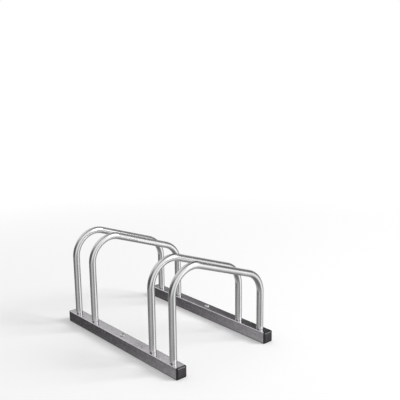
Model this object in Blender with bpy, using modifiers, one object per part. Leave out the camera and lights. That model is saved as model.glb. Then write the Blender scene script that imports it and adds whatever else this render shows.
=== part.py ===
"""Floor-standing rack for two bicycles.

Four bent tube hoops stand on two square rails. Each hoop has a tall leg on one rail, a short leg on the
other and a top bar that slopes down between them, and each pair of hoops holds one wheel. The rails lie
along X, the tall legs stand at -Y, and the origin is on the floor under the middle of the rack. Metres.
"""
import math

import bmesh
import bpy
from mathutils import Matrix, Vector

# Rails, of square steel tube
RAIL_SIDE = 0.030
RAIL_WALL = 0.0015
RAIL_CORNER = 0.0026
RAIL_GAUGE = 0.288
RAIL_OVERHANG = 0.027

# Hoops, of round steel tube bent on one former
TUBE_DIAMETER = 0.018
TUBE_WALL = 0.0012
BEND_RADIUS = 0.063
HOOP_HEIGHT = 0.262
BAR_SLOPE = math.radians(20.0)

# Places for the wheels
SLOT_CLEAR = 0.061
WHEEL_PITCH = 0.332

# End caps, of moulded plastic
CAP_FLANGE = 0.0030
CAP_BEVEL_HEIGHT = 0.0012
CAP_BEVEL_WIDTH = 0.0018
PLUG_LENGTH = 0.0145
PLUG_TIP = 0.0025
PLUG_WALL = 0.0016
PLUG_RELIEF = 0.0007
FIN_COUNT = 3
FIN_RISE = 0.0022
FIN_BACK = 0.0006

# Threads of all screws
THREAD_DIAMETER = 0.008

# Hexagon bolts that hold the hoops, their washers, and the threaded inserts in the hoop ends
HEX_ACROSS_FLATS = 0.013
HEX_HEIGHT = 0.0053
HEX_CHAMFER = 0.0006
HOOP_BOLT_LENGTH = 0.020
WASHER_DIAMETER = 0.016
WASHER_THICKNESS = 0.0016
INSERT_LENGTH = 0.016
INSERT_RECESS = 0.0005

# Domed floor screws with a hexagon socket
DOME_DIAMETER = 0.014
DOME_HEIGHT = 0.0042
DOME_RIM = 0.0010
SOCKET_ACROSS_FLATS = 0.005
SOCKET_DEPTH = 0.0026

# Clearances: between pieces that touch, in washers, in the rails' screw holes, and round a socket spanner
SEAT_GAP = 0.0003
WASHER_CLEARANCE = 0.0004
HOLE_CLEARANCE = 0.0005
SPANNER_CLEARANCE = 0.0015

# Fineness of the round shapes
TUBE_BEVEL_RESOLUTION = 8
BEND_STEP = math.radians(9.5)
CORNER_STEPS = 3
ROUND_STEPS = 20
HOLE_SEGMENTS = 24
DOME_STEPS = 5

# Sizes that follow from those above
SLOT_CENTRES = SLOT_CLEAR + TUBE_DIAMETER
OUTER_HOOP_X = WHEEL_PITCH / 2 + SLOT_CENTRES / 2
INNER_HOOP_X = WHEEL_PITCH / 2 - SLOT_CENTRES / 2
HOOP_X = (-OUTER_HOOP_X, -INNER_HOOP_X, INNER_HOOP_X, OUTER_HOOP_X)
RAIL_LENGTH = 2 * (OUTER_HOOP_X + RAIL_OVERHANG)
RAIL_Y = {"tall": -RAIL_GAUGE / 2, "short": RAIL_GAUGE / 2}
RAIL_CEILING = RAIL_SIDE - RAIL_WALL
TUBE_BORE = TUBE_DIAMETER - 2 * TUBE_WALL
FOOT_Z = RAIL_SIDE + SEAT_GAP
HEX_CORNER_RADIUS = HEX_ACROSS_FLATS / 2 / math.cos(math.pi / 6)
SCREW_HOLE = THREAD_DIAMETER + 2 * HOLE_CLEARANCE
SPANNER_HOLE = 2 * (HEX_CORNER_RADIUS + SPANNER_CLEARANCE)

ZINC_BRIGHT = ("bright_zinc_steel", (0.72, 0.73, 0.75), 0.24, 1.0)
ZINC_ROLLED = ("rolled_zinc_steel", (0.69, 0.69, 0.70), 0.18, 1.0)
ZINC_SCREW = ("zinc_plated_screws", (0.62, 0.63, 0.64), 0.30, 1.0)
PLASTIC_BLACK = ("black_moulded_plastic", (0.022, 0.022, 0.024), 0.42, 0.0)


def clear_scene():
    for old in list(bpy.data.objects):
        bpy.data.objects.remove(old, do_unlink=True)


def collection(name):
    group = bpy.data.collections.new(name)
    bpy.context.scene.collection.children.link(group)
    return group


def material(spec):
    name, colour, roughness, metallic = spec
    finish = bpy.data.materials.get(name)
    if finish:
        return finish
    finish = bpy.data.materials.new(name)
    finish.use_nodes = True
    shader = finish.node_tree.nodes["Principled BSDF"]
    shader.inputs["Base Color"].default_value = (*colour, 1.0)
    shader.inputs["Roughness"].default_value = roughness
    shader.inputs["Metallic"].default_value = metallic
    finish.diffuse_color = (*colour, 1.0)
    return finish


def add_object(name, data, group, spec=None):
    thing = bpy.data.objects.new(name, data)
    group.objects.link(thing)
    if spec:
        data.materials.clear()
        data.materials.append(material(spec))
    return thing


def finished_mesh(thing, name):
    """The object's evaluated mesh, welded, with the object itself removed."""
    bpy.context.view_layer.update()
    evaluated = thing.evaluated_get(bpy.context.evaluated_depsgraph_get())
    mesh = bpy.data.meshes.new_from_object(evaluated)
    mesh.name = name
    bm = bmesh.new()
    bm.from_mesh(mesh)
    bmesh.ops.remove_doubles(bm, verts=bm.verts, dist=0.00001)
    bmesh.ops.recalc_face_normals(bm, faces=bm.faces)
    bm.to_mesh(mesh)
    bm.free()
    bpy.data.objects.remove(thing, do_unlink=True)
    return mesh


def shade_round(mesh, angle=math.radians(35)):
    mesh.shade_smooth()
    mesh.set_sharp_from_angle(angle=angle)


def rounded_square(side, radius):
    """Corner points of a rounded square about the origin, as (u, v) pairs."""
    points = []
    for corner in range(4):
        start = corner * math.pi / 2
        centre_angle = start + math.pi / 4
        reach = (side / 2 - radius) * math.sqrt(2)
        centre = (reach * math.cos(centre_angle), reach * math.sin(centre_angle))
        for step in range(CORNER_STEPS + 1):
            angle = start + step * math.pi / 2 / CORNER_STEPS
            points.append((centre[0] + radius * math.cos(angle), centre[1] + radius * math.sin(angle)))
    return points


def outline_curve(name, outlines, half_thickness, group):
    """A flat outline, with any inner outlines as holes, thickened both ways along its own Z."""
    curve = bpy.data.curves.new(name, "CURVE")
    curve.dimensions = "2D"
    curve.fill_mode = "BOTH"
    curve.extrude = half_thickness
    for outline in outlines:
        spline = curve.splines.new("POLY")
        spline.points.add(len(outline) - 1)
        for point, (u, v) in zip(spline.points, outline):
            point.co = (u, v, 0.0, 1.0)
        spline.use_cyclic_u = True
    return add_object(name, curve, group)


def turned_mesh(name, profile, group, closed=True):
    """A profile of (radius, height) pairs, top to bottom on its outer side, turned about Z.

    A closed profile makes a ring, and an open one starts and ends on the axis.
    """
    mesh = bpy.data.meshes.new(name)
    bm = bmesh.new()
    line = [bm.verts.new((radius, 0.0, height)) for radius, height in profile]
    ends = line[1:] + line[:1] if closed else line[1:]
    for first, second in zip(line, ends):
        bm.edges.new((first, second))
    bm.to_mesh(mesh)
    bm.free()
    thing = add_object(name, mesh, group)
    turn = thing.modifiers.new("turn", "SCREW")
    turn.axis = "Z"
    turn.steps = ROUND_STEPS
    turn.render_steps = ROUND_STEPS
    turn.use_merge_vertices = True
    turn.merge_threshold = 0.00001
    return finished_mesh(thing, name)


def cylinder(bm, diameter, low, high, x=0.0, y=0.0, segments=HOLE_SEGMENTS):
    place = Matrix.Translation((x, y, (low + high) / 2))
    bmesh.ops.create_cone(bm, cap_ends=True, segments=segments, radius1=diameter / 2, radius2=diameter / 2,
                          depth=high - low, matrix=place)


def rail_cutter(name, group):
    """The holes of one rail: four for the hoop bolts, four to reach them from below, one for the floor screw."""
    mesh = bpy.data.meshes.new(name)
    bm = bmesh.new()
    past = RAIL_WALL
    for x in HOOP_X:
        cylinder(bm, SCREW_HOLE, RAIL_CEILING - past, RAIL_SIDE + past, x)
        cylinder(bm, SPANNER_HOLE, -past, RAIL_WALL + past, x)
    cylinder(bm, SCREW_HOLE, -past, RAIL_SIDE + past)
    bm.to_mesh(mesh)
    bm.free()
    cutter = add_object(name, mesh, group)
    cutter.hide_render = True
    cutter.display_type = "WIRE"
    return cutter


def rail(side, parts, cutters):
    """A square tube with its holes, lying along X on the floor."""
    name = "rail_" + side
    outer = rounded_square(RAIL_SIDE, RAIL_CORNER)
    inner = rounded_square(RAIL_SIDE - 2 * RAIL_WALL, max(RAIL_CORNER - RAIL_WALL, SEAT_GAP))
    tube = outline_curve(name + "_outline", [outer, inner], RAIL_LENGTH / 2, parts)
    mesh = finished_mesh(tube, name)
    lay_down = Matrix.Translation((0, 0, RAIL_SIDE / 2)) @ Matrix.Rotation(math.pi / 2, 4, "Y")
    mesh.transform(lay_down)
    thing = add_object(name, mesh, parts, ZINC_ROLLED)
    cutter = rail_cutter(name + "_holes", cutters)
    thing.location.y = RAIL_Y[side]
    cutter.location.y = RAIL_Y[side]
    cut = thing.modifiers.new("holes", "BOOLEAN")
    cut.operation = "DIFFERENCE"
    cut.object = cutter
    return thing


def arc(centre, radius, start, end):
    """Points on an arc in the hoop's plane, as (y, z) pairs, from one angle to another."""
    count = max(2, round(abs(end - start) / BEND_STEP))
    return [(centre[0] + radius * math.cos(start + (end - start) * step / count),
             centre[1] + radius * math.sin(start + (end - start) * step / count)) for step in range(count + 1)]


def hoop_path():
    """The hoop's centre line, as (y, z) pairs: up the tall leg, along the sloping bar, down the short leg."""
    tall_y = RAIL_Y["tall"]
    short_y = RAIL_Y["short"]
    tall_bend = (tall_y + BEND_RADIUS, HOOP_HEIGHT - TUBE_DIAMETER / 2 - BEND_RADIUS)
    run = (short_y - BEND_RADIUS) - tall_bend[0]
    short_bend = (short_y - BEND_RADIUS, tall_bend[1] - run * math.tan(BAR_SLOPE))
    over_bar = math.pi / 2 - BAR_SLOPE
    path = [(tall_y, FOOT_Z)]
    path += arc(tall_bend, BEND_RADIUS, math.pi, over_bar)
    path += arc(short_bend, BEND_RADIUS, over_bar, 0.0)
    path += [(short_y, FOOT_Z)]
    return path


def hoop_mesh(group):
    """A tube swept along the hoop's centre line, open at both feet."""
    curve = bpy.data.curves.new("hoop_line", "CURVE")
    curve.dimensions = "3D"
    curve.bevel_depth = TUBE_DIAMETER / 2
    curve.bevel_resolution = TUBE_BEVEL_RESOLUTION
    curve.use_fill_caps = False
    spline = curve.splines.new("POLY")
    path = hoop_path()
    spline.points.add(len(path) - 1)
    for point, (y, z) in zip(spline.points, path):
        point.co = (0.0, y, z, 1.0)
    skin = finished_mesh(add_object("hoop_line", curve, group), "hoop_skin")
    tube = add_object("hoop_skin", skin, group)
    wall = tube.modifiers.new("wall", "SOLIDIFY")
    wall.thickness = TUBE_WALL
    wall.offset = -1.0
    wall.use_even_offset = True
    mesh = finished_mesh(tube, "hoop")
    shade_round(mesh)
    return mesh


def square_face(bm, side, radius):
    """A rounded square face at x = 0, in the plane across the rail."""
    return bm.faces.new([bm.verts.new((0.0, u, v)) for u, v in rounded_square(side, radius)])


def draw_out(bm, face, from_side, steps):
    """Extrude a square face along X through (distance, side) steps, changing its width on the way."""
    side = from_side
    for distance, new_side in steps:
        face = bmesh.ops.extrude_discrete_faces(bm, faces=[face])["faces"][0]
        scale = new_side / side
        for vert in face.verts:
            vert.co = Vector((vert.co.x + distance, vert.co.y * scale, vert.co.z * scale))
        side = new_side
    return face


def cap_mesh():
    """An end cap: its bevelled front at +X, its flange against the rail's end at x = 0, its plug at -X."""
    fit = RAIL_SIDE - 2 * RAIL_WALL - 2 * SEAT_GAP
    body = fit - 2 * PLUG_RELIEF
    steps = [(-CAP_BEVEL_HEIGHT, RAIL_SIDE), (-CAP_FLANGE, RAIL_SIDE), (0.0, body)]
    fin_pitch = (PLUG_LENGTH - PLUG_TIP) / FIN_COUNT
    reached = 0.0
    for fin in range(FIN_COUNT):
        start = fin_pitch * (fin + 1) - FIN_RISE - FIN_BACK
        steps += [(-(start - reached), body), (-FIN_BACK, fit), (-FIN_RISE, body)]
        reached = start + FIN_BACK + FIN_RISE
    steps += [(-(PLUG_LENGTH - reached), body), (0.0, body - 2 * PLUG_WALL), (PLUG_LENGTH, body - 2 * PLUG_WALL)]
    bm = bmesh.new()
    front_side = RAIL_SIDE - 2 * CAP_BEVEL_WIDTH
    front = square_face(bm, front_side, RAIL_CORNER * front_side / RAIL_SIDE)
    grown = bmesh.ops.extrude_face_region(bm, geom=[front])["geom"]
    back = next(item for item in grown if isinstance(item, bmesh.types.BMFace))
    draw_first, draw_rest = steps[0], steps[1:]
    for vert in back.verts:
        vert.co = Vector((draw_first[0], vert.co.y * RAIL_SIDE / front_side, vert.co.z * RAIL_SIDE / front_side))
    draw_out(bm, back, RAIL_SIDE, draw_rest)
    bmesh.ops.translate(bm, verts=bm.verts, vec=(SEAT_GAP + CAP_FLANGE + CAP_BEVEL_HEIGHT, 0, 0))
    bmesh.ops.recalc_face_normals(bm, faces=bm.faces)
    mesh = bpy.data.meshes.new("end_cap")
    bm.to_mesh(mesh)
    bm.free()
    return mesh


def hexagon_prism(bm, across_flats, low, high):
    radius = across_flats / 2 / math.cos(math.pi / 6)
    place = Matrix.Translation((0, 0, (low + high) / 2))
    bmesh.ops.create_cone(bm, cap_ends=True, segments=6, radius1=radius, radius2=radius, depth=high - low,
                          matrix=place)


def mesh_of(name, fill, *args):
    """A new mesh, filled by one of the shape functions above."""
    mesh = bpy.data.meshes.new(name)
    bm = bmesh.new()
    fill(bm, *args)
    bm.to_mesh(mesh)
    bm.free()
    return mesh


def combined(thing, other, operation, name):
    """The mesh of one object with another joined to it or cut from it; both objects are used up."""
    step = thing.modifiers.new("combine", "BOOLEAN")
    step.operation = operation
    step.object = other
    mesh = finished_mesh(thing, name)
    bpy.data.objects.remove(other, do_unlink=True)
    return mesh


def hexagon_bolt_mesh(name, group):
    """A hexagon bolt with the underside of its head at z = 0, the head above and the shank below."""
    mesh = bpy.data.meshes.new(name)
    bm = bmesh.new()
    hexagon_prism(bm, HEX_ACROSS_FLATS, 0.0, HEX_HEIGHT - HEX_CHAMFER)
    top = max(bm.faces, key=lambda face: face.calc_center_median().z)
    top = bmesh.ops.extrude_discrete_faces(bm, faces=[top])["faces"][0]
    shrink = (HEX_CORNER_RADIUS - HEX_CHAMFER) / HEX_CORNER_RADIUS
    for vert in top.verts:
        vert.co = Vector((vert.co.x * shrink, vert.co.y * shrink, HEX_HEIGHT))
    bm.to_mesh(mesh)
    bm.free()
    head = add_object(name, mesh, group)
    shank = mesh_of(name + "_shank", cylinder, THREAD_DIAMETER, -HOOP_BOLT_LENGTH, HEX_HEIGHT / 2)
    bolt = combined(head, add_object(name + "_shank", shank, group), "UNION", name)
    shade_round(bolt)
    return bolt


def domed_screw_mesh(name, length, group):
    """A screw with a domed head, its seat at z = 0, a hexagon socket in its top and its shank below."""
    rise = DOME_HEIGHT - DOME_RIM
    radius = DOME_DIAMETER / 2
    sphere = (radius ** 2 + rise ** 2) / (2 * rise)
    widest = math.asin(radius / sphere)
    profile = []
    for step in range(DOME_STEPS + 1):
        angle = widest * step / DOME_STEPS
        profile.append((sphere * math.sin(angle), DOME_HEIGHT - sphere * (1 - math.cos(angle))))
    profile += [(radius, 0.0), (THREAD_DIAMETER / 2, 0.0), (THREAD_DIAMETER / 2, -length), (0.0, -length)]
    blank = add_object(name, turned_mesh(name + "_blank", profile, group, closed=False), group)
    socket = mesh_of(name + "_socket", hexagon_prism, SOCKET_ACROSS_FLATS, DOME_HEIGHT - SOCKET_DEPTH,
                     DOME_HEIGHT + SOCKET_DEPTH)
    screw = combined(blank, add_object(name + "_socket", socket, group), "DIFFERENCE", name)
    shade_round(screw)
    return screw


def ring_profile(outer, hole, low, high):
    return [(outer / 2, high), (outer / 2, low), (hole / 2, low), (hole / 2, high)]


def place(name, mesh, spec, parts, location, turn=None):
    """One more piece of a shape, as its own object."""
    thing = add_object(name, mesh, parts, spec)
    thing.location = location
    if turn:
        thing.rotation_euler = turn
    return thing


def hoops(parts):
    mesh = hoop_mesh(parts)
    for number, x in enumerate(HOOP_X, start=1):
        place(f"hoop_{number}", mesh, ZINC_BRIGHT, parts, (x, 0, 0))


def hoop_fastenings(parts):
    """In each hoop end an insert, and under it, inside the rail, a washer and a bolt with its head down."""
    bolt = hexagon_bolt_mesh("hoop_bolt", parts)
    washer_hole = THREAD_DIAMETER + 2 * WASHER_CLEARANCE
    washer = turned_mesh("hoop_washer", ring_profile(WASHER_DIAMETER, washer_hole, -WASHER_THICKNESS, 0), parts)
    insert_diameter = TUBE_BORE - 2 * SEAT_GAP
    insert_hole = THREAD_DIAMETER + 2 * SEAT_GAP
    insert = turned_mesh("hoop_insert", ring_profile(insert_diameter, insert_hole, 0, INSERT_LENGTH), parts)
    washer_top = RAIL_CEILING - SEAT_GAP
    head_seat = washer_top - WASHER_THICKNESS - SEAT_GAP
    for number, x in enumerate(HOOP_X, start=1):
        for side, y in RAIL_Y.items():
            place(f"hoop_insert_{number}_{side}", insert, ZINC_SCREW, parts, (x, y, FOOT_Z + INSERT_RECESS))
            place(f"hoop_washer_{number}_{side}", washer, ZINC_SCREW, parts, (x, y, washer_top))
            place(f"hoop_bolt_{number}_{side}", bolt, ZINC_SCREW, parts, (x, y, head_seat), (math.pi, 0, 0))


def floor_screws(parts):
    """In the middle of each rail a domed screw, down through both walls. It ends above the floor."""
    seat = RAIL_SIDE + SEAT_GAP
    screw = domed_screw_mesh("floor_screw", seat - RAIL_WALL, parts)
    for side, y in RAIL_Y.items():
        place(f"floor_screw_{side}", screw, ZINC_SCREW, parts, (0, y, seat))


def end_caps(parts):
    mesh = cap_mesh()
    for side, y in RAIL_Y.items():
        place(f"end_cap_{side}_right", mesh, PLASTIC_BLACK, parts, (RAIL_LENGTH / 2, y, RAIL_SIDE / 2))
        place(f"end_cap_{side}_left", mesh, PLASTIC_BLACK, parts, (-RAIL_LENGTH / 2, y, RAIL_SIDE / 2),
              (0, 0, math.pi))


def build():
    clear_scene()
    parts = collection("bicycle_rack")
    cutters = collection("cutters")
    for side in RAIL_Y:
        rail(side, parts, cutters)
    hoops(parts)
    end_caps(parts)
    hoop_fastenings(parts)
    floor_screws(parts)


build()
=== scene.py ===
"""Looks of a floor-standing rack for two bicycles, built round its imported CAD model.

Four bent tubes stand on two rails of square tube, all of bright zinc-plated steel. The rails lie along X, the
tall legs stand at -Y, and the floor is at z = 0. Lengths are in metres unless a name says mm.
"""

import math

import bmesh
import bpy
from mathutils import Matrix, Quaternion, Vector


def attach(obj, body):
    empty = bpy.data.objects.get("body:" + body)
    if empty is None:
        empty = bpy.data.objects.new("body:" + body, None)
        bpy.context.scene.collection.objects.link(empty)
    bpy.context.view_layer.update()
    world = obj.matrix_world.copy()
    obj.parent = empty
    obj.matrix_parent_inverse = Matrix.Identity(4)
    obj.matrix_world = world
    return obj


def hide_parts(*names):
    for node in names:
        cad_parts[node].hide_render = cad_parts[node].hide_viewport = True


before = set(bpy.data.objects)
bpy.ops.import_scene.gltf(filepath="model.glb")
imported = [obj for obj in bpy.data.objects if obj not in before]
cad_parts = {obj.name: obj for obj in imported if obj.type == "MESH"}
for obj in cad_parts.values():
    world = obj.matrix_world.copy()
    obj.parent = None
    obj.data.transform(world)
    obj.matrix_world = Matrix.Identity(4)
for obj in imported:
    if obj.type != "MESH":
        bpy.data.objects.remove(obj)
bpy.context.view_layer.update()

MM = 0.001

# Rails
RAIL_SIDE = 0.030
RAIL_WALL = 0.0015
RAIL_CORNER = 0.0026
RAIL_Y = {"tall": -0.144, "short": 0.144}
RAIL_LENGTH = 0.465

# Hoops
TUBE_DIAMETER = 0.018
TUBE_WALL = 0.0012
BEND_RADIUS = 0.063
HOOP_HEIGHT = 0.262
BAR_SLOPE = math.radians(20)
WHEEL_PITCH = 0.332
SLOT_CENTRES = 0.079
HOOP_X = (-0.2055, -0.1265, 0.1265, 0.2055)
SEAT_GAP = 0.0003

# End caps
CAP_DEPTH = 0.0042
CAP_TAPER = 0.00045
CAP_BORDER = 0.0014
CAP_BEVEL_HEIGHT = 0.0014
CAP_BEVEL_WIDTH = 0.0022
CAP_CROWN = 0.0005
CAP_EDGE = 0.00035
PLUG_LENGTH = 0.0145
PLUG_WALL = 0.0016
PLUG_BODY = 0.0250
PLUG_FIN = 0.0264
FIN_TIPS = (0.0018, 0.0058, 0.0098)
FIN_RISE = 0.0022

# Screws, washers and inserts
THREAD_DIAMETER = 0.008
THREAD_PITCH = 0.00125
THREAD_DEPTH = 0.0007
DOME_DIAMETER = 0.014
DOME_HEIGHT = 0.0042
DOME_RIM = 0.0010
SOCKET_FLATS = 0.005
SOCKET_DEPTH = 0.0026
FLOOR_SCREW_LENGTH = 0.0288
HEX_FLATS = 0.013
HEX_HEIGHT = 0.0053
HOOP_BOLT_LENGTH = 0.020
HOOP_BOLT_SEAT = 0.0263
SCREW_HOLE = 0.009
SPANNER_HOLE = 0.018

# Fineness of the shapes
TUBE_SIDES = 48
BEND_STEPS = 28
CORNER_STEPS = 7
HOLE_SIDES = 48
HOLE_BURR = 0.0003
SCREW_SIDES = 48
BOLT_SIDES = 36
WELD_DISTANCE = 0.00001

# Camera
VIEW_AZIMUTH = math.radians(48.98)
VIEW_ELEVATION = math.radians(13.43)
VIEW_ROLL = math.radians(-0.656)
VIEW_POINT = (1.38328, -1.08058, 0.77774)
LENS_MM = 63.166


def linear(hex_colour):
    """An sRGB hex colour as linear values with full alpha."""
    channels = [int(hex_colour[i:i + 2], 16) / 255 for i in (1, 3, 5)]
    return [c / 12.92 if c <= 0.04045 else ((c + 0.055) / 1.055) ** 2.4 for c in channels] + [1.0]


def add(tree, kind, inputs=None, **settings):
    """Adds a node, gives it its settings, and fills its inputs with values or with other nodes' outputs."""
    made = tree.nodes.new(kind)
    for name, value in settings.items():
        setattr(made, name, value)
    for name, value in (inputs or {}).items():
        if isinstance(value, bpy.types.NodeSocket):
            tree.links.new(value, made.inputs[name])
        else:
            made.inputs[name].default_value = value
    return made


# Geometry Nodes


def shape_tree(name, sizes):
    """A new Geometry Nodes tree, the outputs of its input node by name, and a function that ends it."""
    tree = bpy.data.node_groups.new(name, "GeometryNodeTree")
    for label, kind in sizes.items():
        tree.interface.new_socket(label, in_out="INPUT", socket_type="NodeSocket" + kind)
    tree.interface.new_socket("Shape", in_out="OUTPUT", socket_type="NodeSocketGeometry")
    size = add(tree, "NodeGroupInput").outputs

    def end(shape):
        real = add(tree, "GeometryNodeRealizeInstances", {"Geometry": shape}).outputs[0]
        finish = add(tree, "GeometryNodeSetMaterial", {"Geometry": real, "Material": size["Finish"]})
        add(tree, "NodeGroupOutput", {"Shape": finish.outputs[0]})
        return tree

    return tree, size, end


def new_object(name, data):
    """A new object in the scene, with a mesh, a lamp or a camera as its data."""
    thing = bpy.data.objects.new(name, data)
    bpy.context.scene.collection.objects.link(thing)
    return thing


def settled(thing, sharp_angle=None):
    """Turns the object's modifiers into a plain mesh at the origin, and shades it."""
    bpy.context.view_layer.update()
    shape = bpy.data.meshes.new_from_object(thing.evaluated_get(bpy.context.evaluated_depsgraph_get()))
    thing.modifiers.clear()
    thing.data = shape
    if sharp_angle is not None:
        shape.shade_smooth()
        shape.set_sharp_from_angle(angle=math.radians(sharp_angle))
    return thing


def grown(name, tree, values):
    """An object whose shape comes from a Geometry Nodes tree, with the tree's inputs set."""
    thing = new_object(name, bpy.data.meshes.new(name))
    shape = thing.modifiers.new("shape", "NODES")
    shape.node_group = tree
    for socket in tree.interface.items_tree:
        if socket.in_out == "INPUT":
            shape[socket.identifier] = values[socket.name]
    return thing


def bent_tube_tree():
    """The skin of a round tube that runs up a tall leg, along a sloping bar and down a short leg.

    Its attribute "drawn" holds the place round the tube in X and Y, and the way along it in Z.
    """
    tree, size, end = shape_tree("bent_tube", {
        "Place along rails": "Float", "Gauge": "Float", "Foot height": "Float", "Tall corner": "Float",
        "Short corner": "Float", "Bend radius": "Float", "Bend steps": "Int", "Tube diameter": "Float",
        "Tube sides": "Int", "Finish": "Material"})

    def half(socket, sign):
        return add(tree, "ShaderNodeMath", {0: socket, 1: 0.5 * sign}, operation="MULTIPLY").outputs[0]

    corners = {}
    places = ((-1, "Foot height"), (-1, "Tall corner"), (1, "Short corner"), (1, "Foot height"))
    for number, (side, height) in enumerate(places, start=1):
        corner = add(tree, "ShaderNodeCombineXYZ", {
            "X": size["Place along rails"], "Y": half(size["Gauge"], side), "Z": size[height]})
        corners[f"Point {number}"] = corner.outputs[0]
    line = add(tree, "GeometryNodeCurvePrimitiveQuadrilateral", corners, mode="POINTS")
    opened = add(tree, "GeometryNodeSetSplineCyclic", {"Geometry": line.outputs[0], "Cyclic": False})
    bent = add(tree, "GeometryNodeFilletCurve", {
        "Curve": opened.outputs[0], "Count": size["Bend steps"], "Radius": size["Bend radius"]}, mode="POLY")
    along = add(tree, "GeometryNodeCaptureAttribute", {"Geometry": bent.outputs[0]})
    along.capture_items.new("FLOAT", "along")
    tree.links.new(add(tree, "GeometryNodeSplineParameter").outputs["Length"], along.inputs["along"])
    ring = add(tree, "GeometryNodeCurvePrimitiveCircle", {
        "Resolution": size["Tube sides"], "Radius": half(size["Tube diameter"], 1)})
    around = add(tree, "GeometryNodeCaptureAttribute", {"Geometry": ring.outputs[0]})
    around.capture_items.new("VECTOR", "around")
    tree.links.new(add(tree, "GeometryNodeInputPosition").outputs[0], around.inputs["around"])
    skin = add(tree, "GeometryNodeCurveToMesh", {
        "Curve": along.outputs[0], "Profile Curve": around.outputs[0], "Fill Caps": False})
    upward = add(tree, "ShaderNodeCombineXYZ", {"Z": along.outputs["along"]})
    drawn = add(tree, "ShaderNodeVectorMath", {0: around.outputs["around"], 1: upward.outputs[0]},
                operation="ADD")
    stored = add(tree, "GeometryNodeStoreNamedAttribute", data_type="FLOAT_VECTOR", domain="POINT")
    stored.inputs["Name"].default_value = "drawn"
    tree.links.new(skin.outputs[0], stored.inputs["Geometry"])
    tree.links.new(drawn.outputs[0], stored.inputs["Value"])
    return end(stored.outputs[0])


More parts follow.
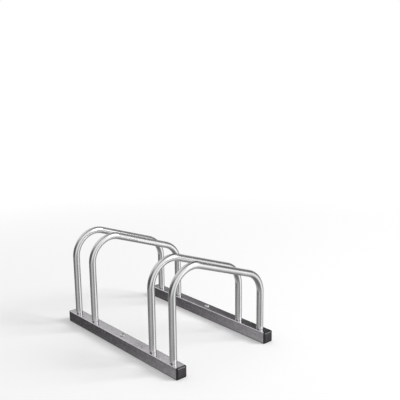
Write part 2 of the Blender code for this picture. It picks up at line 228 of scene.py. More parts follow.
def square_tube_tree():
    """A square tube along X with rounded edges and holes.

    It has four bolt holes in its top, a spanner hole below each of them, and a screw hole through its middle.
    """
    tree, size, end = shape_tree("square_tube", {
        "Side": "Float", "Wall": "Float", "Corner": "Float", "Length": "Float", "Across": "Float",
        "Wheel pitch": "Float", "Slot pitch": "Float", "Screw hole": "Float", "Spanner hole": "Float",
        "Burr": "Float", "Finish": "Material"})

    def calc(operation, first, second):
        return add(tree, "ShaderNodeMath", {0: first, 1: second}, operation=operation).outputs[0]

    def vector(x=0.0, y=0.0, z=0.0):
        return add(tree, "ShaderNodeCombineXYZ", {"X": x, "Y": y, "Z": z}).outputs[0]

    def outline(side, corner):
        square = add(tree, "GeometryNodeCurvePrimitiveQuadrilateral", {"Width": side, "Height": side})
        return add(tree, "GeometryNodeFilletCurve", {
            "Curve": square.outputs[0], "Count": CORNER_STEPS, "Radius": corner}, mode="POLY").outputs[0]

    def points(count, pitch):
        start = vector(x=calc("MULTIPLY", pitch, -0.5 * (count - 1)))
        return add(tree, "GeometryNodeMeshLine", {"Count": count, "Start Location": start,
                                                  "Offset": vector(x=pitch)}).outputs[0]

    def hole(diameter, low, high, at):
        """Cutters for holes from one height to another, at some points.

        A cutter is one closed body: a bore, a cone that opens by the burr's width at each end, and two lids
        that lie beyond the wall.
        """
        radius = calc("MULTIPLY", diameter, 0.5)
        beyond = calc("MULTIPLY", size["Burr"], 2.0)
        wide = calc("ADD", radius, beyond)
        depth = calc("SUBTRACT", calc("SUBTRACT", high, low), beyond)
        middle = calc("MULTIPLY", calc("ADD", high, low), 0.5)
        bore = add(tree, "GeometryNodeMeshCylinder", {
            "Vertices": HOLE_SIDES, "Radius": radius, "Depth": depth}, fill_type="NONE")
        upper = add(tree, "GeometryNodeMeshCone", {
            "Vertices": HOLE_SIDES, "Radius Top": wide, "Radius Bottom": radius, "Depth": beyond},
            fill_type="NONE")
        lower = add(tree, "GeometryNodeMeshCone", {
            "Vertices": HOLE_SIDES, "Radius Top": radius, "Radius Bottom": wide, "Depth": beyond},
            fill_type="NONE")
        lid = add(tree, "GeometryNodeMeshCircle", {"Vertices": HOLE_SIDES, "Radius": wide}, fill_type="NGON")
        bottom = add(tree, "GeometryNodeFlipFaces", {"Mesh": lid.outputs[0]})
        above = calc("ADD", high, size["Burr"])
        below = calc("SUBTRACT", low, size["Burr"])
        skin = add(tree, "GeometryNodeJoinGeometry")
        for piece, height in ((bore, middle), (upper, calc("SUBTRACT", high, size["Burr"])), (lower, below),
                              (lid, above), (bottom, below)):
            moved = add(tree, "GeometryNodeTransform", {
                "Geometry": piece.outputs[0], "Translation": vector(z=height)})
            tree.links.new(moved.outputs[0], skin.inputs[0])
        cutter = add(tree, "GeometryNodeMergeByDistance", {
            "Geometry": skin.outputs[0], "Distance": WELD_DISTANCE})
        copies = add(tree, "GeometryNodeInstanceOnPoints", {"Points": at, "Instance": cutter.outputs[0]})
        return add(tree, "GeometryNodeRealizeInstances", {"Geometry": copies.outputs[0]}).outputs[0]

    twice = calc("MULTIPLY", size["Wall"], 2.0)
    inner_side = calc("SUBTRACT", size["Side"], twice)
    inner_corner = calc("SUBTRACT", size["Corner"], size["Wall"])
    rings = add(tree, "GeometryNodeJoinGeometry")
    tree.links.new(outline(size["Side"], size["Corner"]), rings.inputs[0])
    tree.links.new(outline(inner_side, inner_corner), rings.inputs[0])
    end_face = add(tree, "GeometryNodeFillCurve", {"Curve": rings.outputs[0]}, mode="TRIANGLES").outputs[0]
    drawn = add(tree, "GeometryNodeExtrudeMesh", {
        "Mesh": end_face, "Offset": vector(z=1.0), "Offset Scale": size["Length"], "Individual": False})
    other_end = add(tree, "GeometryNodeFlipFaces", {"Mesh": end_face})
    whole = add(tree, "GeometryNodeJoinGeometry")
    tree.links.new(drawn.outputs["Mesh"], whole.inputs[0])
    tree.links.new(other_end.outputs[0], whole.inputs[0])
    closed = add(tree, "GeometryNodeMergeByDistance", {
        "Geometry": whole.outputs[0], "Distance": WELD_DISTANCE})
    half_way = add(tree, "GeometryNodeTransform", {
        "Geometry": closed.outputs[0], "Translation": vector(z=calc("MULTIPLY", size["Length"], -0.5))})
    laid = add(tree, "GeometryNodeTransform", {
        "Geometry": half_way.outputs[0], "Rotation": (0.0, math.pi / 2, 0.0),
        "Translation": vector(z=calc("MULTIPLY", size["Side"], 0.5))})
    pairs = add(tree, "GeometryNodeInstanceOnPoints", {
        "Points": points(2, size["Wheel pitch"]), "Instance": points(2, size["Slot pitch"])})
    feet = add(tree, "GeometryNodeRealizeInstances", {"Geometry": pairs.outputs[0]}).outputs[0]
    middle = points(1, size["Wheel pitch"])
    ceiling = calc("SUBTRACT", size["Side"], size["Wall"])
    bored = add(tree, "GeometryNodeMeshBoolean", {"Mesh 1": laid.outputs[0]}, operation="DIFFERENCE",
                solver="EXACT")
    for cutter in (hole(size["Screw hole"], ceiling, size["Side"], feet),
                   hole(size["Spanner hole"], 0.0, size["Wall"], feet),
                   hole(size["Screw hole"], 0.0, size["Wall"], middle),
                   hole(size["Screw hole"], ceiling, size["Side"], middle)):
        tree.links.new(cutter, bored.inputs["Mesh 2"])
    placed = add(tree, "GeometryNodeTransform", {
        "Geometry": bored.outputs[0], "Translation": vector(y=size["Across"])})
    return end(placed.outputs[0])


def screws_tree():
    """Cuts a thread into a blank screw and puts copies of it along a rail.

    The thread is a groove whose depth rises and falls once for each pitch and turns with the angle about
    the screw's axis. The attribute "turned" holds the distance from that axis in X and the height in Z.
    """
    tree, size, end = shape_tree("screws_along_rail", {
        "Blank": "Object", "Pitch": "Float", "Depth": "Float", "Thread top": "Float", "Thread end": "Float",
        "Turn over": "Rotation", "Across": "Float", "Height": "Float", "Pairs": "Int", "Pair pitch": "Float",
        "In a pair": "Int", "Pitch in a pair": "Float", "Finish": "Material"})

    def calc(operation, first, second=0.0):
        return add(tree, "ShaderNodeMath", {0: first, 1: second}, operation=operation).outputs[0]

    def vector(x=0.0, y=0.0, z=0.0):
        return add(tree, "ShaderNodeCombineXYZ", {"X": x, "Y": y, "Z": z}).outputs[0]

    def points(count, pitch):
        spare = calc("SUBTRACT", count, 1.0)
        start = vector(x=calc("MULTIPLY", calc("MULTIPLY", pitch, spare), -0.5))
        return add(tree, "GeometryNodeMeshLine", {"Count": count, "Start Location": start,
                                                  "Offset": vector(x=pitch)}).outputs[0]

    blank = add(tree, "GeometryNodeObjectInfo", {"Object": size["Blank"]}).outputs["Geometry"]
    at = add(tree, "ShaderNodeSeparateXYZ", {0: add(tree, "GeometryNodeInputPosition").outputs[0]}).outputs
    from_axis = vector(at["X"], at["Y"])
    outward = add(tree, "ShaderNodeVectorMath", {0: from_axis}, operation="NORMALIZE").outputs[0]
    radius = add(tree, "ShaderNodeVectorMath", {0: from_axis}, operation="LENGTH").outputs["Value"]
    turns = calc("DIVIDE", calc("ARCTAN2", at["Y"], at["X"]), 2 * math.pi)
    pitches = calc("SUBTRACT", calc("DIVIDE", at["Z"], size["Pitch"]), turns)
    # Heights below the head are negative, so whole turns are added before the fraction is taken
    phase = calc("FRACT", calc("ADD", pitches, 100.0))
    groove = calc("ABSOLUTE", calc("SUBTRACT", calc("MULTIPLY", phase, 2.0), 1.0))
    run_in = calc("DIVIDE", calc("SUBTRACT", size["Thread top"], at["Z"]), size["Pitch"])
    run_out = calc("DIVIDE", calc("SUBTRACT", at["Z"], size["Thread end"]), size["Pitch"])
    share = calc("MAXIMUM", calc("MINIMUM", calc("MINIMUM", run_in, run_out), 1.0), 0.0)
    cut = calc("MULTIPLY", calc("MULTIPLY", groove, share), calc("MULTIPLY", size["Depth"], -1.0))
    move = add(tree, "ShaderNodeVectorMath", {0: outward, "Scale": cut}, operation="SCALE").outputs[0]
    on_shank = calc("LESS_THAN", radius, THREAD_DIAMETER / 2 + 0.1 * MM)
    shank = calc("MULTIPLY", on_shank, calc("GREATER_THAN", radius, THREAD_DIAMETER / 4))
    threaded = add(tree, "GeometryNodeSetPosition", {"Geometry": blank, "Selection": shank, "Offset": move})
    turned = add(tree, "GeometryNodeStoreNamedAttribute", data_type="FLOAT_VECTOR", domain="POINT")
    turned.inputs["Name"].default_value = "turned"
    tree.links.new(threaded.outputs[0], turned.inputs["Geometry"])
    tree.links.new(vector(x=radius, z=at["Z"]), turned.inputs["Value"])
    pairs = add(tree, "GeometryNodeInstanceOnPoints", {
        "Points": points(size["Pairs"], size["Pair pitch"]),
        "Instance": points(size["In a pair"], size["Pitch in a pair"])})
    feet = add(tree, "GeometryNodeRealizeInstances", {"Geometry": pairs.outputs[0]}).outputs[0]
    copies = add(tree, "GeometryNodeInstanceOnPoints", {
        "Points": feet, "Instance": turned.outputs[0], "Rotation": size["Turn over"]})
    placed = add(tree, "GeometryNodeTransform", {
        "Geometry": copies.outputs[0], "Translation": vector(y=size["Across"], z=size["Height"])})
    return end(placed.outputs[0])


# Shapes in mesh code


def ringed_mesh(name, stations, sides):
    """A closed body of rings about Z, from pole to pole. A station is (radius, height).

    A radius may be a function of the angle, and a height one of the radius.
    """
    mesh = bpy.data.meshes.new(name)
    bm = bmesh.new()
    rings = []
    for radius, height in stations:
        ring = []
        for k in range(sides):
            angle = 2 * math.pi * k / sides
            r = radius(angle) if callable(radius) else radius
            z = height(r) if callable(height) else height
            ring.append((r * math.cos(angle), r * math.sin(angle), z))
        if radius == 0.0:
            rings.append([bm.verts.new(ring[0])] * sides)
        else:
            rings.append([bm.verts.new(point) for point in ring])
    for upper, lower in zip(rings, rings[1:]):
        for k in range(sides):
            corners = [upper[k], lower[k], lower[(k + 1) % sides], upper[(k + 1) % sides]]
            bm.faces.new(list(dict.fromkeys(corners)))
    bmesh.ops.recalc_face_normals(bm, faces=bm.faces)
    bm.to_mesh(mesh)
    bm.free()
    return mesh


def hexagon(across_flats):
    """The radius of a hexagon at an angle, with a corner at angle 0."""
    return lambda angle: across_flats / 2 / math.cos(angle % (math.pi / 3) - math.pi / 6)


def shank(length, rings_per_pitch=6):
    """Stations down a plain shank, close enough for its thread, with a chamfered end."""
    radius = THREAD_DIAMETER / 2
    chamfer = 0.8 * MM
    steps = round((length - chamfer) / THREAD_PITCH * rings_per_pitch)
    down = [(radius, -(length - chamfer) * step / steps) for step in range(steps + 1)]
    return down + [(radius - chamfer, -length), (0.0, -length)]


def domed_screw(name):
    """A screw with a low domed head, a hexagon socket with a pointed floor, and a rim with small chamfers."""
    rise = DOME_HEIGHT - DOME_RIM
    half = DOME_DIAMETER / 2
    sphere = (half ** 2 + rise ** 2) / (2 * rise)
    mouth = SOCKET_FLATS / 2 / math.cos(math.pi / 6)
    dome_start = mouth + 0.3 * MM
    dome_end = half - 0.25 * MM
    dome_steps = 8

    def dome(r):
        return DOME_HEIGHT - sphere + math.sqrt(sphere ** 2 - r ** 2)

    stations = [(0.0, DOME_HEIGHT - SOCKET_DEPTH),
                (hexagon(SOCKET_FLATS), DOME_HEIGHT - SOCKET_DEPTH + 0.4 * MM),
                (hexagon(SOCKET_FLATS), DOME_HEIGHT - 0.45 * MM),
                (mouth + 0.1 * MM, dome), (dome_start, dome)]
    for step in range(1, dome_steps + 1):
        stations.append((dome_start + (dome_end - dome_start) * step / dome_steps, dome))
    stations += [(half - 0.06 * MM, DOME_RIM - 0.04 * MM), (half, DOME_RIM - 0.3 * MM), (half, 0.2 * MM),
                 (half - 0.2 * MM, 0.0), (THREAD_DIAMETER / 2 + 0.15 * MM, 0.0)]
    return ringed_mesh(name, stations + shank(FLOOR_SCREW_LENGTH), SCREW_SIDES)


def hexagon_bolt(name):
    """A hexagon bolt whose head is chamfered by a cone, so that each flat ends in an arc."""
    bearing = HEX_FLATS / 2 - 0.2 * MM
    corner = hexagon(HEX_FLATS)
    corner_reach = HEX_FLATS / 2 / math.cos(math.pi / 6) - bearing

    def chamfer(r):
        return HEX_HEIGHT - max(0.0, r - bearing) * math.tan(math.radians(30))

    def underside(r):
        return 0.35 * MM * max(0.0, r - bearing) / corner_reach

    stations = [(0.0, HEX_HEIGHT), (bearing * 0.5, HEX_HEIGHT), (bearing, HEX_HEIGHT), (corner, chamfer),
                (corner, underside), (bearing, 0.0), (THREAD_DIAMETER / 2 + 0.15 * MM, 0.0)]
    return ringed_mesh(name, stations + shank(HOOP_BOLT_LENGTH), BOLT_SIDES)


def rounded_square(side, corner, steps=CORNER_STEPS):
    """Points round a square with rounded corners, as (y, z) pairs."""
    points = []
    for quarter in range(4):
        start = quarter * math.pi / 2
        reach = (side / 2 - corner) * math.sqrt(2)
        middle = (reach * math.cos(start + math.pi / 4), reach * math.sin(start + math.pi / 4))
        for step in range(steps + 1):
            angle = start + step * math.pi / 2 / steps
            points.append((middle[0] + corner * math.cos(angle), middle[1] + corner * math.sin(angle)))
    return points


def lofted_mesh(name, stations):
    """A closed body of rounded squares along X. A station is (x, side, corner), and side 0 is a point.

    Its x may be a function of the place in the square.
    """
    mesh = bpy.data.meshes.new(name)
    bm = bmesh.new()
    rings = []
    for x, side, corner in stations:
        if side == 0.0:
            rings.append([bm.verts.new((x, 0.0, 0.0))])
        else:
            places = rounded_square(side, corner)
            rings.append([bm.verts.new((x(y, z) if callable(x) else x, y, z)) for y, z in places])
    for first, second in zip(rings, rings[1:]):
        count = max(len(first), len(second))
        for k in range(count):
            corners = [first[k % len(first)], second[k % len(second)],
                       second[(k + 1) % len(second)], first[(k + 1) % len(first)]]
            bm.faces.new(list(dict.fromkeys(corners)))
    bmesh.ops.recalc_face_normals(bm, faces=bm.faces)
    bm.to_mesh(mesh)
    bm.free()
    return mesh


def end_cap_mesh(name):
    """A plug cap whose flange is at +X. The plug is hollow and has fins that grip the rail's inside.

    The flange tapers towards its front. The front has a flat border, a bevel and a panel that is crowned
    like a cushion.
    """
    rim = RAIL_SIDE - 2 * CAP_TAPER
    border = rim - 2 * CAP_BORDER
    panel = border - 2 * CAP_BEVEL_WIDTH
    front = SEAT_GAP + CAP_DEPTH
    shoulder = front - CAP_CROWN - CAP_BEVEL_HEIGHT
    panel_corner = RAIL_CORNER * 0.7
    body_corner = RAIL_CORNER * 0.8
    fin_corner = RAIL_CORNER * 0.9
    hollow_corner = RAIL_CORNER * 0.5

    def crowned(y, z):
        flat = 1 - max(0.0, 1 - (2 * y / panel) ** 2) * max(0.0, 1 - (2 * z / panel) ** 2)
        return front - CAP_CROWN * flat

    stations = [(front, 0.0, 0.0)]
    for share in (0.15, 0.3, 0.45, 0.6, 0.75, 0.9, 1.0):
        stations.append((crowned, panel * share, panel_corner * share))
    stations += [(shoulder, border, body_corner), (shoulder, rim, RAIL_CORNER),
                 (SEAT_GAP, RAIL_SIDE, RAIL_CORNER), (SEAT_GAP, PLUG_BODY, body_corner)]
    for tip in FIN_TIPS:
        crest = -tip - 1.1 * MM
        stations += [(-tip - 0.6 * MM, PLUG_BODY, body_corner), (crest, PLUG_FIN, fin_corner),
                     (crest - FIN_RISE, PLUG_BODY, body_corner)]
    inside = PLUG_BODY - 2 * PLUG_WALL
    back = SEAT_GAP - PLUG_LENGTH
    stations += [(back, PLUG_BODY, body_corner), (back, inside, hollow_corner),
                 (SEAT_GAP, inside, hollow_corner), (SEAT_GAP, 0.0, 0.0)]
    return lofted_mesh(name, stations)


# Materials


def new_material(name, colour, roughness, metallic):
    """A material, its tree and its shader, with the even part of its finish set on the shader's sockets."""
    material = bpy.data.materials.new(name)
    material.use_nodes = True
    shader = material.node_tree.nodes["Principled BSDF"]
    shader.inputs["Base Color"].default_value = linear(colour)
    shader.inputs["Roughness"].default_value = roughness
    shader.inputs["Metallic"].default_value = metallic
    material.diffuse_color = linear(colour)
    return material, material.node_tree, shader


def drawn_zinc_steel():
    """Bright zinc on drawn steel tube.

    It is silver, with fine lines along the tube and a faint mottle in the zinc.
    """
    material, tree, shader = new_material("bright_zinc_on_drawn_steel_tube", "#dcdcdd", 0.24, 1.0)
    place = add(tree, "ShaderNodeAttribute", attribute_name="drawn").outputs["Vector"]
    # Draw lines are finer than a tenth of a millimetre; they are 0.7 mm apart here so that they show
    stretched = add(tree, "ShaderNodeMapping", {"Vector": place, "Scale": (1.0, 1.0, 0.012)}).outputs[0]
    lines = add(tree, "ShaderNodeTexNoise", {
        "Vector": stretched, "Scale": 1 / (0.7 * MM), "Detail": 3.0}).outputs[0]
    mottle = add(tree, "ShaderNodeTexNoise", {
        "Vector": place, "Scale": 1 / (26 * MM), "Detail": 4.0}).outputs[0]
    tone = add(tree, "ShaderNodeValToRGB", {"Fac": mottle})
    tone.color_ramp.elements[0].position = 0.3
    tone.color_ramp.elements[0].color = linear("#d7d7d8")
    tone.color_ramp.elements[1].position = 0.7
    tone.color_ramp.elements[1].color = linear("#e2e2e2")
    tree.links.new(tone.outputs[0], shader.inputs["Base Color"])
    gloss = add(tree, "ShaderNodeMapRange", {"Value": lines, "From Min": 0.3, "From Max": 0.7, "To Min": 0.14,
                                             "To Max": 0.19})
    tree.links.new(gloss.outputs[0], shader.inputs["Roughness"])
    relief = add(tree, "ShaderNodeBump", {"Height": lines, "Strength": 0.1, "Distance": 0.02 * MM})
    tree.links.new(relief.outputs[0], shader.inputs["Normal"])
    return material


def rolled_zinc_steel():
    """Bright zinc on steel strip rolled into square tube.

    It is silver, with faint zinc crystals about 7 mm across and marks of the rolls along the rail.
    """
    material, tree, shader = new_material("bright_zinc_on_rolled_steel_tube", "#d9d6da", 0.18, 1.0)
    place = add(tree, "ShaderNodeTexCoord").outputs["Object"]
    crystals = add(tree, "ShaderNodeTexVoronoi", {"Vector": place, "Scale": 1 / (7 * MM)})
    crystal_tone = add(tree, "ShaderNodeSeparateColor", {0: crystals.outputs["Color"]}).outputs[0]
    # Marks of the rolls are a few tenths of a millimetre wide; they are 2.2 mm wide here so that they show
    stretched = add(tree, "ShaderNodeMapping", {"Vector": place, "Scale": (0.03, 1.0, 1.0)}).outputs[0]
    marks = add(tree, "ShaderNodeTexNoise", {
        "Vector": stretched, "Scale": 1 / (2.2 * MM), "Detail": 3.0}).outputs[0]
    cloud = add(tree, "ShaderNodeTexNoise", {
        "Vector": place, "Scale": 1 / (40 * MM), "Detail": 5.0}).outputs[0]
    blend = add(tree, "ShaderNodeMix", {0: 0.45, 2: crystal_tone, 3: cloud}).outputs[0]
    blend = add(tree, "ShaderNodeMix", {0: 0.6, 2: blend, 3: marks}).outputs[0]
    tone = add(tree, "ShaderNodeValToRGB", {"Fac": blend})
    tone.color_ramp.elements[0].position = 0.35
    tone.color_ramp.elements[0].color = linear("#d0ccd1")
    tone.color_ramp.elements[1].position = 0.65
    tone.color_ramp.elements[1].color = linear("#e2dee3")
    tree.links.new(tone.outputs[0], shader.inputs["Base Color"])
    gloss = add(tree, "ShaderNodeMapRange", {"Value": blend, "From Min": 0.3, "From Max": 0.7, "To Min": 0.15,
                                             "To Max": 0.21})
    tree.links.new(gloss.outputs[0], shader.inputs["Roughness"])
    relief = add(tree, "ShaderNodeBump", {"Height": marks, "Strength": 0.12, "Distance": 0.06 * MM})
    tree.links.new(relief.outputs[0], shader.inputs["Normal"])
    return material


def plated_screw_steel():
    """Zinc-plated, cold-formed steel of screws, inserts and washers.

    It is light grey, with fine rings round the screw's axis.
    """
    material, tree, shader = new_material("zinc_plated_cold_formed_steel", "#dcdcda", 0.24, 1.0)
    place = add(tree, "ShaderNodeTexCoord").outputs["Object"]
    cloud = add(tree, "ShaderNodeTexNoise", {
        "Vector": place, "Scale": 1 / (3 * MM), "Detail": 4.0}).outputs[0]
    tone = add(tree, "ShaderNodeValToRGB", {"Fac": cloud})
    tone.color_ramp.elements[0].position = 0.3
    tone.color_ramp.elements[0].color = linear("#d2d3d4")
    tone.color_ramp.elements[1].position = 0.7
    tone.color_ramp.elements[1].color = linear("#e4e4e1")
    tree.links.new(tone.outputs[0], shader.inputs["Base Color"])
    axis = add(tree, "ShaderNodeAttribute", attribute_name="turned").outputs["Vector"]
    # Turning marks are a few hundredths of a millimetre apart; these are 0.45 mm apart so that they show
    rings = add(tree, "ShaderNodeTexNoise", {
        "Vector": axis, "Scale": 1 / (0.45 * MM), "Detail": 2.0}).outputs[0]
    gloss = add(tree, "ShaderNodeMapRange", {"Value": rings, "From Min": 0.3, "From Max": 0.7, "To Min": 0.2,
                                             "To Max": 0.28})
    tree.links.new(gloss.outputs[0], shader.inputs["Roughness"])
    relief = add(tree, "ShaderNodeBump", {"Height": rings, "Strength": 0.3, "Distance": 0.02 * MM})
    tree.links.new(relief.outputs[0], shader.inputs["Normal"])
    return material


def moulded_black_polyethylene():
    """Black polyethylene from a fine mould: half glossy, with an even fine grain."""
    material, tree, shader = new_material("moulded_black_polyethylene", "#1b171c", 0.215, 0.0)
    shader.inputs["IOR"].default_value = 1.51
    place = add(tree, "ShaderNodeTexCoord").outputs["Object"]
    # The grain of such a mould is about 0.1 mm; it is 0.5 mm here so that it shows
    grain = add(tree, "ShaderNodeTexNoise", {
        "Vector": place, "Scale": 1 / (0.5 * MM), "Detail": 2.0}).outputs[0]
    gloss = add(tree, "ShaderNodeMapRange", {"Value": grain, "From Min": 0.3, "From Max": 0.7, "To Min": 0.18,
                                             "To Max": 0.25})
    tree.links.new(gloss.outputs[0], shader.inputs["Roughness"])
    tone = add(tree, "ShaderNodeValToRGB", {"Fac": grain})
    tone.color_ramp.elements[0].color = linear("#171318")
    tone.color_ramp.elements[1].color = linear("#201b21")
    tree.links.new(tone.outputs[0], shader.inputs["Base Color"])
    relief = add(tree, "ShaderNodeBump", {"Height": grain, "Strength": 0.2, "Distance": 0.03 * MM})
    tree.links.new(relief.outputs[0], shader.inputs["Normal"])
    return material


# Pieces


def flat_faced(piece):
    """Keeps the wide flat faces flat in their shading, beside the narrow faces of rounded edges."""
    normals = piece.modifiers.new("flat_faces", "WEIGHTED_NORMAL")
    normals.keep_sharp = True


def register(piece, finish, slot, *nodes):
    """Gives a finished piece its finish if it has none, hides the CAD nodes that it stands for and puts it on
    the root body. Its slot is not used.
    """
    if not piece.data.materials:
        piece.data.materials.append(finish)
    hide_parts(*nodes)
    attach(piece, "root")


def make_hoops(finish):
    """Four bent tubes, whose corners lie where the straight legs and the sloping bar would meet."""
    tree = bent_tube_tree()
    tall_centre = HOOP_HEIGHT - TUBE_DIAMETER / 2 - BEND_RADIUS
    rise = math.cos(BAR_SLOPE) + (1 + math.sin(BAR_SLOPE)) * math.tan(BAR_SLOPE)
    tall_corner = tall_centre + BEND_RADIUS * rise
    gauge = RAIL_Y["short"] - RAIL_Y["tall"]
    for number, x in enumerate(HOOP_X, start=1):
        hoop = grown(f"bent_tube_{number}", tree, {
            "Place along rails": x, "Gauge": gauge, "Foot height": RAIL_SIDE + SEAT_GAP,
            "Tall corner": tall_corner, "Short corner": tall_corner - gauge * math.tan(BAR_SLOPE),
            "Bend radius": BEND_RADIUS, "Bend steps": BEND_STEPS, "Tube diameter": TUBE_DIAMETER,
            "Tube sides": TUBE_SIDES, "Finish": finish})
        wall = hoop.modifiers.new("wall", "SOLIDIFY")
        wall.thickness = TUBE_WALL
        wall.offset = -1.0
        wall.use_even_offset = True
        settled(hoop, sharp_angle=40)
        register(hoop, finish, "bright_zinc_steel", f"hoop_{number}")


def make_rails(finish):
    """Two square tubes on the floor, with holes for the bolts, a spanner and the screw in their middle."""
    tree = square_tube_tree()
    for side, across in RAIL_Y.items():
        rail = grown(f"square_tube_{side}", tree, {
            "Side": RAIL_SIDE, "Wall": RAIL_WALL, "Corner": RAIL_CORNER, "Length": RAIL_LENGTH,
            "Across": across, "Wheel pitch": WHEEL_PITCH, "Slot pitch": SLOT_CENTRES,
            "Screw hole": SCREW_HOLE, "Spanner hole": SPANNER_HOLE, "Burr": HOLE_BURR, "Finish": finish})
        settled(rail, sharp_angle=30)
        flat_faced(rail)
        register(rail, finish, "rolled_zinc_steel", f"rail_{side}")


def make_screws(finish):
    """A domed screw in each rail's middle, and four hexagon bolts inside each rail with their heads down."""
    tree = screws_tree()
    dome = new_object("dome", domed_screw("dome"))
    hexagon_head = new_object("hexagon", hexagon_bolt("hexagon"))
    for side, across in RAIL_Y.items():
        floor_screw = grown(f"domed_screw_{side}", tree, {
            "Blank": dome, "Pitch": THREAD_PITCH, "Depth": THREAD_DEPTH, "Thread top": -2 * MM,
            "Thread end": -FLOOR_SCREW_LENGTH, "Turn over": (0.0, 0.0, 0.0), "Across": across,
            "Height": RAIL_SIDE + SEAT_GAP, "Pairs": 1, "Pair pitch": 0.0, "In a pair": 1,
            "Pitch in a pair": 0.0, "Finish": finish})
        settled(floor_screw, sharp_angle=35)
        register(floor_screw, finish, "zinc_plated_screws", f"floor_screw_{side}")
        bolts = grown(f"hexagon_bolts_{side}", tree, {
            "Blank": hexagon_head, "Pitch": THREAD_PITCH, "Depth": THREAD_DEPTH, "Thread top": -1 * MM,
            "Thread end": -HOOP_BOLT_LENGTH, "Turn over": (math.pi, 0.0, 0.0), "Across": across,
            "Height": HOOP_BOLT_SEAT, "Pairs": 2, "Pair pitch": WHEEL_PITCH, "In a pair": 2,
            "Pitch in a pair": SLOT_CENTRES, "Finish": finish})
        settled(bolts, sharp_angle=35)
        register(bolts, finish, "zinc_plated_screws", *[f"hoop_bolt_{n}_{side}" for n in range(1, 5)])
    bpy.data.objects.remove(dome)
    bpy.data.objects.remove(hexagon_head)


def make_end_caps(finish):
    """Four plug caps, made facing +X and then set on the rails' ends, with their edges softened."""
    for side, across in RAIL_Y.items():
        for end, turn in (("right", 0.0), ("left", math.pi)):
            cap = new_object(f"plug_cap_{side}_{end}", end_cap_mesh(f"plug_cap_{side}_{end}"))
            facing = Matrix.Rotation(turn, 4, "Z")
            at = Vector((RAIL_LENGTH / 2 * math.cos(turn), across, RAIL_SIDE / 2))
            cap.data.transform(Matrix.Translation(at) @ facing)
            edge = cap.modifiers.new("edge", "BEVEL")
            edge.width = CAP_EDGE
            edge.segments = 3
            edge.limit_method = "ANGLE"
            edge.angle_limit = math.radians(22)
            settled(cap, sharp_angle=50)
            flat_faced(cap)
            register(cap, finish, "black_moulded_plastic", f"end_cap_{side}_{end}")


def finish_hidden_nodes(finish):
    """The inserts and washers keep their CAD shapes, since they lie inside the tubes."""
    for name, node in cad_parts.items():
        if name.startswith(("hoop_insert", "hoop_washer")):
            node.data.materials.clear()
            node.data.materials.append(finish)


# Studio

WHITE = (1.0, 1.0, 1.0, 1.0)
BLACK = (0.0, 0.0, 0.0, 1.0)

# Two distances from the floor's middle, and the shares of plain white that the floor shows up to the first
# and from the second on
FLOOR_RADIUS = 9.0
WHITENING = (0.3, 1.6)
WHITE_SHARE = (0.15, 1.0)

# Gloss sees the floor dark up to the first distance and looks through it from the second on
CONTACT_SHADE = (1 * MM, 9 * MM)


def seen_directly(tree):
    """1 for rays from the camera, from gloss and through glass, and 0 for the rest."""
    rays = add(tree, "ShaderNodeLightPath").outputs
    seen = add(tree, "ShaderNodeMath", {0: rays["Is Camera Ray"], 1: rays["Is Glossy Ray"]}, operation="ADD")
    return add(tree, "ShaderNodeMath", {0: seen.outputs[0], 1: rays["Is Transmission Ray"]}, operation="ADD",
               use_clamp=True).outputs[0]


def make_floor():
    """A pale matt floor that keeps the rack's shadow close by and turns to plain white further away.

    Gloss looks through it to the studio's own areas, except within a few millimetres of the rack, where it
    meets a dark contact shade.
    """
    bpy.ops.mesh.primitive_circle_add(vertices=96, radius=FLOOR_RADIUS, fill_type="NGON")
    floor = bpy.context.object
    floor.name = "studio_floor"
    material = bpy.data.materials.new("pale_studio_floor")
    material.use_nodes = True
    tree = material.node_tree
    tree.nodes.clear()
    matt = add(tree, "ShaderNodeBsdfDiffuse", {"Color": linear("#f4f4f4")})
    bright = add(tree, "ShaderNodeEmission", {"Color": WHITE, "Strength": 1.0})
    place = add(tree, "ShaderNodeTexCoord").outputs["Object"]
    away = add(tree, "ShaderNodeVectorMath", {0: place}, operation="LENGTH").outputs["Value"]
    far = add(tree, "ShaderNodeMapRange", {
        "Value": away, "From Min": WHITENING[0], "From Max": WHITENING[1], "To Min": WHITE_SHARE[0],
        "To Max": WHITE_SHARE[1]})
    share = add(tree, "ShaderNodeMath", {0: seen_directly(tree), 1: far.outputs[0]}, operation="MULTIPLY",
                use_clamp=True).outputs[0]
    mixed = add(tree, "ShaderNodeMixShader", {0: share, 1: matt.outputs[0], 2: bright.outputs[0]})
    rays = add(tree, "ShaderNodeLightPath").outputs
    open_floor = add(tree, "ShaderNodeBsdfTransparent")
    shade = add(tree, "ShaderNodeBsdfDiffuse", {"Color": BLACK})
    clear = add(tree, "ShaderNodeMapRange", {
        "Value": rays["Ray Length"], "From Min": CONTACT_SHADE[0], "From Max": CONTACT_SHADE[1]}).outputs[0]
    in_gloss = add(tree, "ShaderNodeMixShader", {0: clear, 1: shade.outputs[0], 2: open_floor.outputs[0]})
    shown = add(tree, "ShaderNodeMixShader", {
        0: rays["Is Glossy Ray"], 1: mixed.outputs[0], 2: in_gloss.outputs[0]})
    add(tree, "ShaderNodeOutputMaterial", {"Surface": shown.outputs[0]})
    floor.data.materials.append(material)


# Light from the world for matt surfaces, and the most that gloss sees from its second reflection on
SOFT_LIGHT = 0.4
DEEP_GLOSS_LIMIT = 2.8

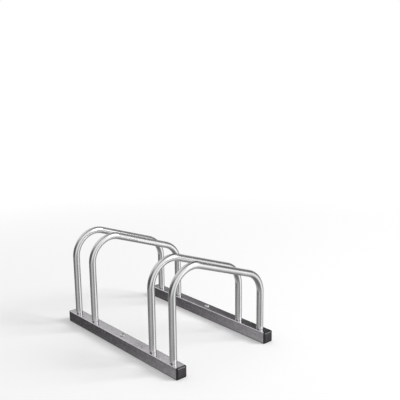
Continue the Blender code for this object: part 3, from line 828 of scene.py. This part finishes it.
# Soft-edged areas of the studio that gloss sees on the white background, later ones over earlier ones
STUDIO = (
    # what it is, direction from +X, height, radius where it is full, radius where it ends, level
    ("dark far side", 205, 30, 70, 80, 0.0),
    ("grey floor", 55, -70, 70, 100, 0.5),
    ("tall window", 65, 0, 45, 60, 1.3),
    ("pale wall", 215, 30, 40, 75, 0.8),
    ("pale screen", 150, 35, 10, 15, 0.75),
    ("front flag", 255, 10, 5, 50, 0.1),
    ("low flag", 210, -10, 12, 26, 0.05),
    ("dark floor", 320, -75, 15, 60, 0.2),
    ("back flag", 85, 15, 15, 40, 0.2),
    ("right floor", 70, -35, 5, 35, 0.5),
    ("right flag", 105, -22, 12, 28, 0.35),
    ("left flag", 347, -22, 4, 20, 0.3),
    ("lamp", 40, 30, 5, 15, 7.0),
)


def make_world():
    """White for the camera and through glass, soft light for matt surfaces, and the studio's areas for gloss.

    The world isn't sampled as a lamp, so that gloss finds the areas by its own rays. The lamp among them
    is at its full strength only in the first reflection, to keep reflections of reflections free of grain.
    """
    world = bpy.data.worlds.new("studio")
    bpy.context.scene.world = world
    world.use_nodes = True
    world.cycles.sampling_method = "NONE"
    tree = world.node_tree
    tree.nodes.clear()
    way = add(tree, "ShaderNodeTexCoord").outputs["Generated"]
    level = 1.0
    for name, turn, height, full, end, brightness in STUDIO:
        turn, height = math.radians(turn), math.radians(height)
        centre = (math.cos(height) * math.cos(turn), math.cos(height) * math.sin(turn), math.sin(height))
        near = add(tree, "ShaderNodeVectorMath", {0: way, 1: centre}, operation="DOT_PRODUCT")
        share = add(tree, "ShaderNodeMapRange", {
            "Value": near.outputs["Value"], "From Min": math.cos(math.radians(end)),
            "From Max": math.cos(math.radians(full))}, interpolation_type="SMOOTHSTEP", label=name).outputs[0]
        level = add(tree, "ShaderNodeMix", {0: share, 2: level, 3: brightness}).outputs[0]
    rays = add(tree, "ShaderNodeLightPath").outputs
    capped = add(tree, "ShaderNodeMath", {0: level, 1: DEEP_GLOSS_LIMIT}, operation="MINIMUM").outputs[0]
    deep = add(tree, "ShaderNodeMath", {0: rays["Glossy Depth"], 1: 1.5}, operation="GREATER_THAN").outputs[0]
    level = add(tree, "ShaderNodeMix", {0: deep, 2: level, 3: capped}).outputs[0]
    soft = add(tree, "ShaderNodeBackground", {"Color": WHITE, "Strength": SOFT_LIGHT}).outputs[0]
    white = add(tree, "ShaderNodeBackground", {"Color": WHITE, "Strength": 1.0}).outputs[0]
    areas = add(tree, "ShaderNodeBackground", {"Color": WHITE, "Strength": level}).outputs[0]
    mixed = add(tree, "ShaderNodeMixShader", {0: seen_directly(tree), 1: soft, 2: white}).outputs[0]
    shown = add(tree, "ShaderNodeMixShader", {0: rays["Is Glossy Ray"], 1: mixed, 2: areas}).outputs[0]
    add(tree, "ShaderNodeOutputWorld", {"Surface": shown})


def softbox(name, place, target, side, power):
    """A square area lamp that lights the matt surfaces and stays out of the gloss."""
    light = bpy.data.lights.new(name, "AREA")
    light.shape = "RECTANGLE"
    light.size = side
    light.size_y = side
    light.energy = power
    thing = new_object(name, light)
    thing.location = place
    thing.rotation_mode = "QUATERNION"
    thing.rotation_quaternion = (Vector(target) - Vector(place)).to_track_quat("-Z", "Y")
    thing.visible_glossy = False


def make_camera():
    """A camera at the photograph's viewing angle, with its place in the rack's frame."""
    lens = bpy.data.cameras.new("camera")
    lens.lens = LENS_MM
    camera = new_object("camera", lens)
    level = math.cos(VIEW_ELEVATION)
    back = Vector((math.sin(VIEW_AZIMUTH) * level, -math.cos(VIEW_AZIMUTH) * level, math.sin(VIEW_ELEVATION)))
    camera.rotation_mode = "QUATERNION"
    camera.rotation_quaternion = (-back).to_track_quat("-Z", "Y") @ Quaternion((0, 0, 1), VIEW_ROLL)
    camera.location = VIEW_POINT
    bpy.context.scene.camera = camera


bright_zinc = drawn_zinc_steel()
rolled_zinc = rolled_zinc_steel()
screw_zinc = plated_screw_steel()
black_plastic = moulded_black_polyethylene()
make_hoops(bright_zinc)
make_rails(rolled_zinc)
make_screws(screw_zinc)
make_end_caps(black_plastic)
finish_hidden_nodes(screw_zinc)
make_floor()
make_world()
softbox("key_softbox", place=(3.0, 2.6, 3.4), target=(0.0, 0.0, 0.1), side=2.2, power=185)
softbox("top_softbox", place=(-0.2, 0.0, 2.4), target=(0.0, 0.0, 0.0), side=2.0, power=16)
make_camera()
bpy.context.scene.view_settings.view_transform = "Standard"
